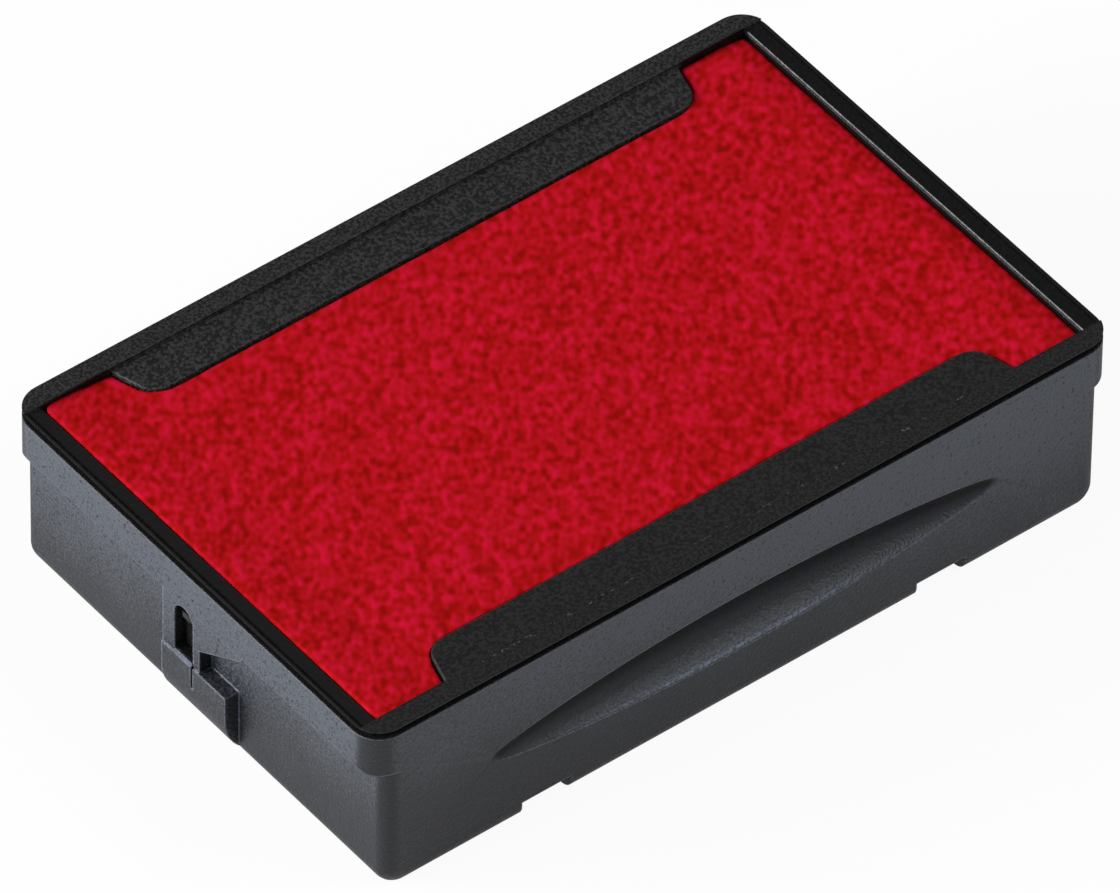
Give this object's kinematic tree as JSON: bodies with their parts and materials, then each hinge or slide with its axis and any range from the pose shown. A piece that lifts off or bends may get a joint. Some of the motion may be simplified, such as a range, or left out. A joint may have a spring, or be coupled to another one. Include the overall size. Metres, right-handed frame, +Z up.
{
  "type": "ink pad cartridge",
  "caption": "shallow moulded tray with end rails, finger scallops and a clipped top frame, holding a flat felt pad for inking a hand stamp",
  "frame": {"origin": "centre of the resting face under the tray", "axes": "+X along the length, +Y across the width, +Z up out of the felt"},
  "size_m": [0.045, 0.0286, 0.0109],
  "materials": {
    "tray_plastic": "fine spark-eroded grain, satin",
    "frame_plastic": "coarse grain on the flaps, smooth edge band",
    "core_felt": "pressed felt soaked with red ink",
    "cover_felt": "thin felt sheet, mottled, damp with red ink"
  },
  "bodies": {
    "root": {"tray": "tray_plastic", "retaining_frame": "frame_plastic", "felt_core": "core_felt", "cover_felt": "cover_felt"}
  },
  "joints": []
}
